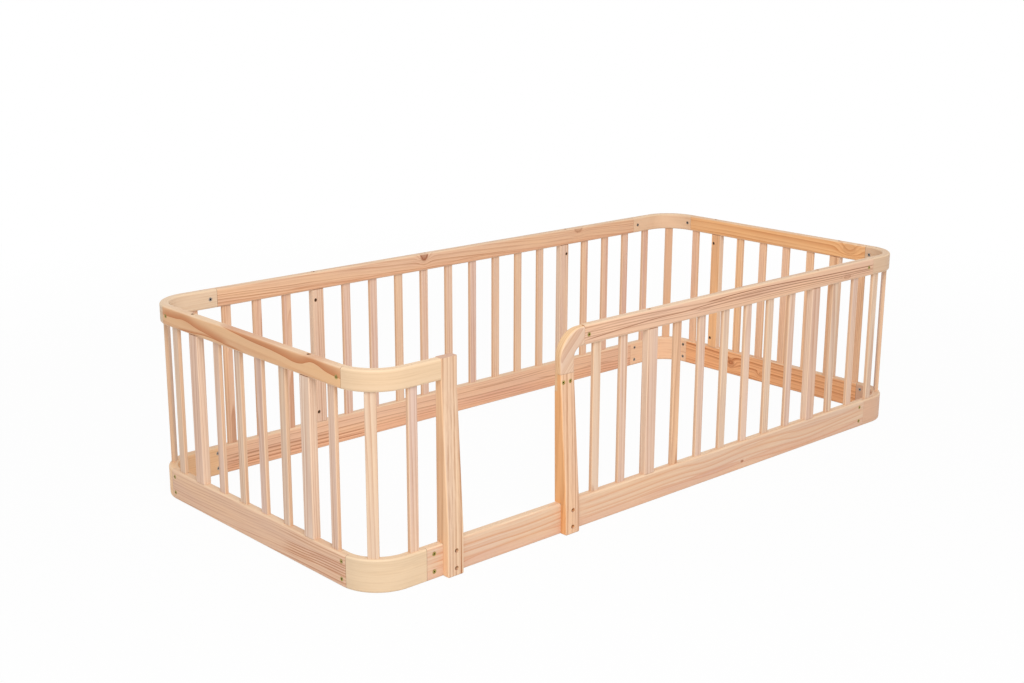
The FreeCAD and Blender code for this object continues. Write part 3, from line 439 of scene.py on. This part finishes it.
def bent_wood(name, bend, legs, early, late, seed):
    """Grain that follows a bend. Its coordinates are the length round the corner's middle line, the height,
    and the distance from the bend's centre; that distance over a leaf's thickness numbers the leaves."""
    material, tree = new_finish(name)
    here = tree.nodes.new("ShaderNodeTexCoord")
    east, north = legs
    shift = (-bend[0] * east * MM, -bend[1] * north * MM, 0)
    turned = lay(tree, "Mapping", here.outputs["Object"], shift, (0, 0, 0), (east * MM, north * MM, MM))
    x, y, z = parts_of(tree, turned)
    past_x, past_y = work(tree, "MAXIMUM", x, 0.0), work(tree, "MAXIMUM", y, 0.0)
    radius = length_of(tree, lay(tree, "CombineXYZ", past_x, past_y, 0.0))
    turn = work(tree, "ARCTAN2", past_y, work(tree, "MAXIMUM", past_x, 0.001))
    round_bend = work(tree, "MULTIPLY", turn, MIDDLE_RADIUS)
    along = work(tree, "ADD", work(tree, "SUBTRACT", round_bend, work(tree, "MINIMUM", y, 0.0)),
                 work(tree, "MINIMUM", x, 0.0))
    place = lay(tree, "CombineXYZ", along, z, radius)
    own = aim(tree, "ADD", place, (seed * 211.3, seed * 97.1, seed * 31.7))

    leaf_depth = work(tree, "MULTIPLY", radius, 1 / LEAF)
    leaf = lay(tree, "TexWhiteNoise", work(tree, "FLOOR", leaf_depth), noise_dimensions="1D")
    off_middle = work(tree, "ABSOLUTE", work(tree, "SUBTRACT", work(tree, "FRACT", leaf_depth), 0.5))
    seam = slope(tree, off_middle, 0.42, 0.5)
    streak = grain_noise(tree, own, 170, 4, 3.0, 0.6)
    cloud = grain_noise(tree, own, 160, 40)
    fibre = grain_noise(tree, own, 14, 1.2, 2.0, 0.6)
    _, _, faces_up = parts_of(tree, here.outputs["Normal"])
    flat = slope(tree, work(tree, "ABSOLUTE", faces_up), 0.3, 0.8)
    seam = work(tree, "MULTIPLY", seam, flat)
    share = work(tree, "ADD", work(tree, "MULTIPLY", slope(tree, streak, 0.42, 0.75), 0.5),
                 work(tree, "ADD", work(tree, "MULTIPLY", seam, 0.4),
                      work(tree, "MULTIPLY", work(tree, "MULTIPLY", leaf, flat), 0.25)))
    colour = blend(tree, share, early, late)
    grey = work(tree, "MULTIPLY_ADD", fibre, 0.1, work(tree, "MULTIPLY_ADD", cloud, 0.14, 0.88))
    colour = blend(tree, 1.0, colour, lay(tree, "CombineColor", grey, grey, grey), "MULTIPLY")
    level = work(tree, "MULTIPLY", faces_up, faces_up)
    arris = work(tree, "MULTIPLY", work(tree, "MULTIPLY", level, 4.0), work(tree, "SUBTRACT", 1.0, level))
    # Painted highlight: the rounded arrises turn paler in patches that follow the streaks.
    arris_highlight = work(tree, "MULTIPLY", slope(tree, arris, 0.1, 0.9), slope(tree, streak, 0.42, 0.62, 0.1, 0.5))
    colour = blend(tree, work(tree, "MULTIPLY", flat, 0.45), colour, TOP_TONE)
    colour = blend(tree, arris_highlight, colour, BENT_ARRIS_HIGHLIGHT_TONE)
    rough = work(tree, "MULTIPLY_ADD", fibre, 0.2, 0.4)
    height = work(tree, "MULTIPLY_ADD", seam, -0.5, work(tree, "MULTIPLY", fibre, 0.35))
    oil(tree, colour, rough, 0.3, height)
    return material


CORNERS = {
    "lower_corner_back_left": (-1, 1, tone(248, 205, 160), tone(218, 162, 112)),
    "lower_corner_back_right": (1, 1, tone(248, 208, 172), tone(216, 162, 118)),
    "lower_corner_front_left": (-1, -1, tone(230, 202, 168), tone(212, 178, 138)),
    "lower_corner_front_right": (1, -1, tone(224, 182, 152), tone(198, 150, 114)),
    "upper_corner_back_left": (-1, 1, tone(232, 204, 174), tone(208, 164, 122)),
    "upper_corner_back_right": (1, 1, tone(238, 202, 168), tone(212, 164, 120)),
    "upper_corner_front_left": (-1, -1, tone(234, 202, 166), tone(216, 180, 136)),
    "upper_corner_front_right": (1, -1, tone(222, 188, 156), tone(200, 156, 116)),
}
for number, (node, (east, north, early, late)) in enumerate(CORNERS.items()):
    low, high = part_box(node)
    wall = high[1] if north > 0 else low[1]
    bend = (east * (cad_box[1][0] - OUTSIDE_RADIUS / MM), wall - north * OUTSIDE_RADIUS / MM)
    dress(node, bent_wood(node, bend, (east, north), early, late, seed=number + 3.5))

# ---------------------------------------------------------------- Entry posts and the corner block
# Two stout pine uprights frame the entry. They are sawn with the years standing upright to the face, so
# their front shows straight lines. The block beside the right one is cut on the slant from a wide board.
POSTS = {
    "left": dict(early=tone(235, 201, 169), late=tone(162, 92, 40), heart=(-260, 90), seed=11, ring=12.0,
                 depth=1.55, edge=tone(250, 206, 162)),
    "right": dict(early=tone(239, 198, 162), late=tone(166, 94, 46), heart=(-240, 60), seed=12, ring=11.0,
                  depth=1.1, edge=tone(247, 182, 118)),
}
for where, cut in POSTS.items():
    node = f"entry_post_{where}"
    dress(node, pine(node, board(node, UP, ALONG_X), lean=(0.006, 0.0), end_and_gap_tone=tone(206, 164, 138), **cut))
# How far a step of one, taken at 45 degrees, goes each way.
SLANT = math.sqrt(0.5)
node = "entry_corner_block"
dress(node, pine(node, board(node, (SLANT, 0, SLANT), (-SLANT, 0, SLANT)), tone(230, 197, 170),
                 tone(190, 130, 88), heart=(40, 50), ring=6, depth=0.75, seed=13, edge=tone(240, 200, 150),
                 end_and_gap_tone=tone(242, 184, 128)))

# ---------------------------------------------------------------- Narrow slats
# Planed laths with rounded edges, glued into mortises in both rings. Each comes from another plank, so
# neighbours differ in tone and in how many year lines cross them.
BEIGE, PINK, AMBER = tone(231, 202, 176), tone(231, 199, 177), tone(232, 188, 152)
# The slats' end tone: their end grain, and a lighter painted shade in the gaps under the rails.
SLAT_END_AND_GAP_TONE = tone(206, 150, 112)
SLAT_PITCH = 98.0
# Steps of the golden share vary how far from the pith each slat is sawn.
GOLDEN_SHARE = 0.618
SLATS = sorted(name for name in nodes if name.startswith("slat_"))
for number, node in enumerate(SLATS):
    across = ALONG_X
    if "_left_front_" in node or "_left_back_" in node:
        across = ALONG_Y
    if "corner" in node:
        east = -1 if node.endswith("left") else 1
        north = 1 if "_back_" in node else -1
        across = (SLANT, -SLANT * east * north, 0)
    sawn_from = (number * GOLDEN_SHARE) % 1
    early = BEIGE if number % 2 == 0 else PINK
    if node in ("slat_front_c", "slat_corner_back_right"):
        early = AMBER
    dress(node, pine(node, board(node, UP, across), early, tone(190, 138, 104),
                     heart=(-40 + 70 * sawn_from, 30), lean=(0.004, 0.012), ring=5.5, wander=5,
                     seed=20 + number, edge=tone(234, 194, 158), end_and_gap_tone=SLAT_END_AND_GAP_TONE))

ROW_TONES = {"back_left": (tone(234, 194, 164), 0.5), "back_middle": (tone(235, 202, 179), 0.5),
             "back_right": (tone(240, 202, 174), 0.5), "right": (tone(250, 206, 168), 0.0)}
for number, (where, (early, offset)) in enumerate(ROW_TONES.items()):
    node = f"slats_{where}_row"
    across = ALONG_Y if where == "right" else ALONG_X
    dress(node, pine(node, board(node, UP, across), early, tone(200, 142, 108), heart=(-20, 30),
                     lean=(0.004, 0.012), ring=6.0, wander=5, seed=60 + number, pitch=(SLAT_PITCH, offset),
                     edge=tone(232, 184, 142)))

# ---------------------------------------------------------------- Wide slats
# Stouter pine laths, planed, two to each wall, tie the rings together. Their ends butt against the rails,
# and each end is held by one bolt and one dowel.
WIDE_SLATS = {
    "back_left": tone(234, 200, 175),
    "back_right": tone(241, 208, 182),
    "front_left": tone(229, 196, 173),
    "front_right": tone(227, 191, 167),
    "left_back": tone(233, 199, 176),
    "left_front": tone(238, 213, 194),
    "right_back": tone(250, 196, 144),
    "right_front": tone(244, 196, 154),
}
for number, (where, early) in enumerate(WIDE_SLATS.items()):
    node = f"wide_slat_{where}"
    across = ALONG_Y if where.startswith(("left", "right")) else ALONG_X
    dress(node, pine(node, board(node, UP, across), early, tone(190, 134, 98),
                     heart=(-60 + 10 * number, 40), ring=6, wander=6, seed=80 + number,
                     edge=tone(244, 214, 187), end_and_gap_tone=SLAT_END_AND_GAP_TONE))


# ---------------------------------------------------------------- Bolts, nuts and dowels
# Socket head bolts with a brass coloured finish hold every lap, the posts' feet and the wide slats. The
# sleeve nuts are plain zinc, dull and a little scratched, and the barrel nuts are darker. The dowels are
# plain beech pins, hidden inside the joints.
# The first is how far the painted shade in sockets and recesses reaches, in metres.
SOCKET_SHADE_REACH, SCRATCH_DEPTH = 0.005, 0.0001


def metal(name, bright, dull, socket_shade_tone, low, high):
    """A plated turned part: its finish clouds over in patches a few millimetres wide, with fine marks.
    Painted shade darkens it where less open space is left within five millimetres, as in a socket."""
    material, tree = new_finish(name)
    here = tree.nodes.new("ShaderNodeTexCoord").outputs["Object"]
    cloud = lay(tree, "TexNoise", here, 420.0, 3.0, 0.6)
    marks = lay(tree, "TexNoise", aim(tree, "MULTIPLY", here, (900, 900, 5200)), 1.0, 2.0, 0.6)
    patch = slope(tree, cloud, 0.35, 0.68)
    open_space = lay(tree, "AmbientOcclusion", None, SOCKET_SHADE_REACH, samples=8).node.outputs["AO"]
    # Painted shade: the colour turns to the shade tone where little open space is left around it.
    painted_socket_shade = slope(tree, open_space, 0.35, 0.8, 1.0, 0.0)
    colour = blend(tree, painted_socket_shade, blend(tree, patch, bright, dull), socket_shade_tone)
    rough = work(tree, "ADD", slope(tree, cloud, 0.3, 0.7, low, high),
                 work(tree, "MULTIPLY_ADD", marks, 0.2, -0.1))
    shader = coat(tree, colour, rough, 0.15, SCRATCH_DEPTH, marks)
    shader.inputs["Metallic"].default_value = 1.0
    return material


# The third tone of each finish is the painted shade in its sockets and recesses.
brass = metal("brass_finish", tone(196, 180, 108), tone(146, 128, 66), tone(46, 36, 22), 0.25, 0.45)
zinc = metal("zinc_finish", tone(200, 192, 184), tone(158, 150, 142), tone(84, 74, 66), 0.4, 0.6)
dark_zinc = metal("dark_finish", tone(112, 84, 60), tone(66, 46, 34), tone(40, 30, 22), 0.35, 0.6)
for node in ("lap_bolts", "post_bolts", "upper_rail_bolts", "lower_rail_bolts"):
    dress(node, brass)
dress("sleeve_nuts", zinc)
dress("barrel_nuts", dark_zinc)
dress("dowels", pine("dowels", board("dowels", UP, ALONG_X), tone(226, 190, 148), tone(196, 150, 104),
                     heart=(-80, 40), ring=2.5, wander=2, seed=91))

# ---------------------------------------------------------------- Floor and light
# A plain pale studio floor, which the camera sees as near white with the bed's faint shadow on it. A broad
# lamp from the front left and an even white sky light the bed.
FLOOR_HALF = 30.0
FLOOR_GREY = 0.8
VEIL_NEAR, VEIL_FAR = (1.3, 0.95), (4.0, 1.0)
floor = bpy.data.objects.new("floor", bpy.data.meshes.new("floor"))
floor.data.from_pydata([(-FLOOR_HALF, -FLOOR_HALF, 0), (FLOOR_HALF, -FLOOR_HALF, 0),
                        (FLOOR_HALF, FLOOR_HALF, 0), (-FLOOR_HALF, FLOOR_HALF, 0)], [], [(0, 1, 2, 3)])
bpy.context.scene.collection.objects.link(floor)
white, tree = new_finish("studio_floor")
shader = tree.nodes["Principled BSDF"]
shader.inputs["Base Color"].default_value = (FLOOR_GREY, FLOOR_GREY, FLOOR_GREY, 1)
shader.inputs["Roughness"].default_value = 0.9
shader.inputs["Specular IOR Level"].default_value = 0.0


def seen(tree):
    """1 for what the camera sees, straight or in a gloss or through glass."""
    path = tree.nodes.new("ShaderNodeLightPath").outputs
    gloss = work(tree, "MAXIMUM", path["Is Glossy Ray"], path["Is Transmission Ray"])
    return work(tree, "MAXIMUM", path["Is Camera Ray"], gloss)


here = tree.nodes.new("ShaderNodeTexCoord").outputs["Object"]
white_share = slope(tree, length_of(tree, here), VEIL_NEAR[0], VEIL_FAR[0], VEIL_NEAR[1], VEIL_FAR[1])
veil = work(tree, "MULTIPLY", seen(tree), white_share)
glow = lay(tree, "Emission", (1, 1, 1, 1), 1.0)
surface = lay(tree, "MixShader", veil, shader.outputs[0], glow)
tree.links.new(surface, tree.nodes["Material Output"].inputs["Surface"])
floor.data.materials.append(white)

SKY_ON_BED, SKY_SEEN = 0.62, 1.0
world = bpy.data.worlds.new("studio")
bpy.context.scene.world = world
world.use_nodes = True
tree = world.node_tree
sky = tree.nodes["Background"]
tree.links.new(lay(tree, "MapRange", seen(tree), 0.0, 1.0, SKY_ON_BED, SKY_SEEN), sky.inputs["Strength"])
sky.inputs["Color"].default_value = (1, 1, 1, 1)

KEY_DISTANCE, KEY_SIZE, KEY_POWER = 6, 3.5, 175
KEY_FROM = Vector((-0.42, -0.58, 0.70)).normalized() * KEY_DISTANCE
key = bpy.data.objects.new("key", bpy.data.lights.new("key", "AREA"))
bpy.context.scene.collection.objects.link(key)
key.data.shape = "DISK"
key.data.size = KEY_SIZE
key.data.energy = KEY_POWER
key.location = KEY_FROM
key.rotation_mode = "QUATERNION"
key.rotation_quaternion = KEY_FROM.to_track_quat("Z", "Y")

bpy.context.scene.view_settings.view_transform = "Standard"
